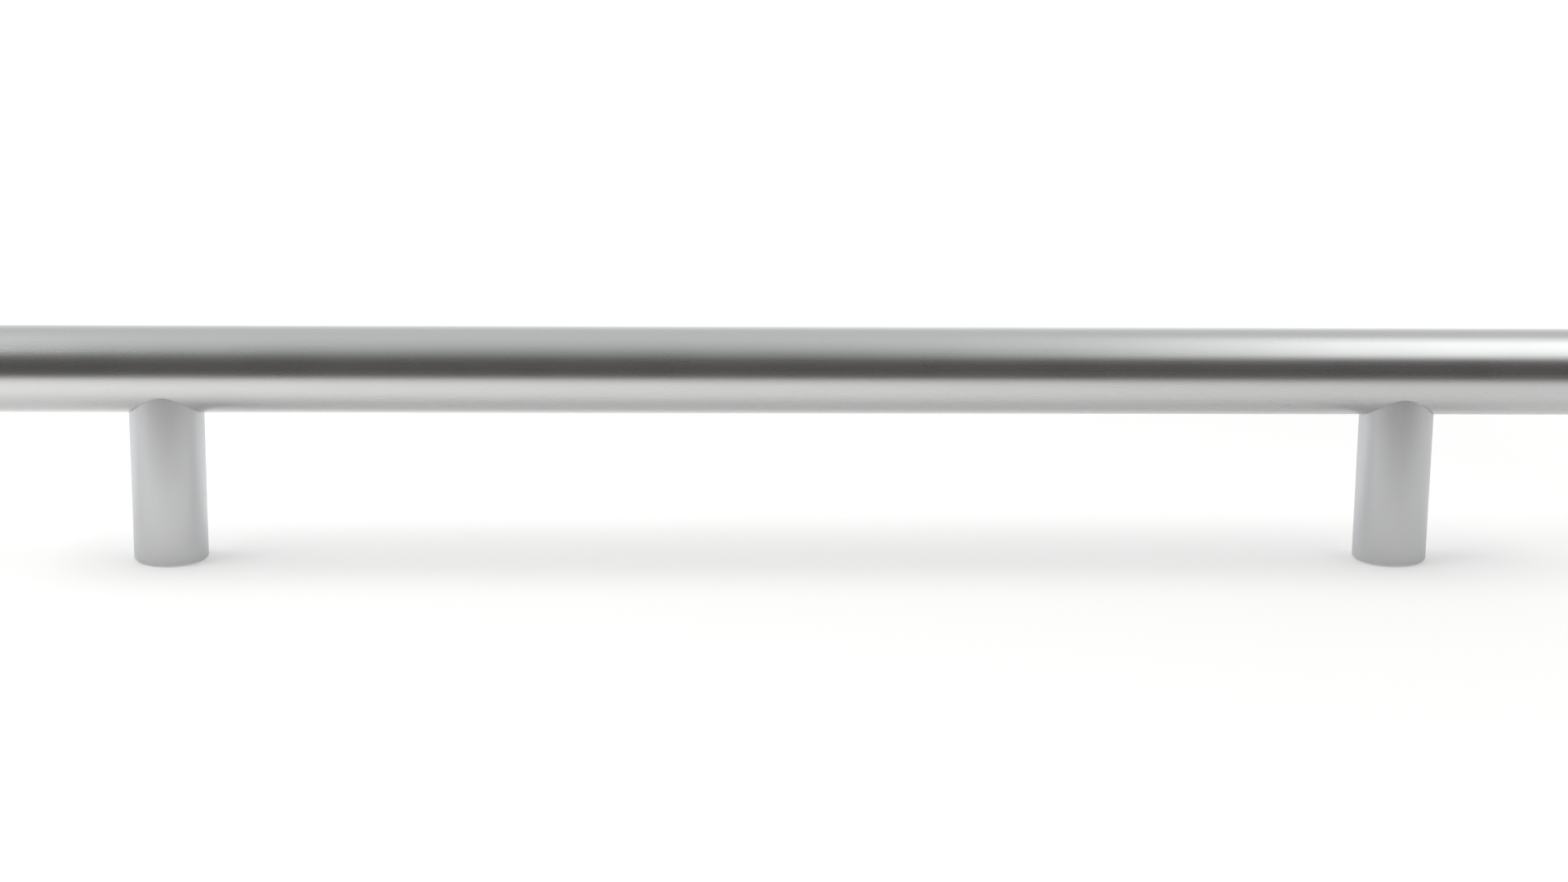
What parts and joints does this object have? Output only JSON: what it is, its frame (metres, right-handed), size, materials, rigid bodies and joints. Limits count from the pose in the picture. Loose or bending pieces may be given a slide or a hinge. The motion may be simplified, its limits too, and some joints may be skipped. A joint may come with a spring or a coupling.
{
  "type": "bridge pull handle",
  "caption": "Straight round bar pull, held clear of a door by slimmer round posts, joined by hidden threaded studs and fixed through tapped holes in the feet.",
  "frame": {"origin": "on the mounting surface, midway between the two posts", "axes": "+X along the bar to the right, +Y across the bar, +Z away from the mounting surface, towards the bar"},
  "size_m": [0.26, 0.014, 0.0385],
  "materials": {
    "bar_metal": "satin, brushed along the bar",
    "post_metal": "satin, turned",
    "stud_steel": "dark oiled steel, hidden in the joint"
  },
  "bodies": {
    "root": {"grip_bar": "bar_metal", "left_post": "post_metal", "right_post": "post_metal", "left_stud": "stud_steel", "right_stud": "stud_steel"}
  },
  "joints": []
}
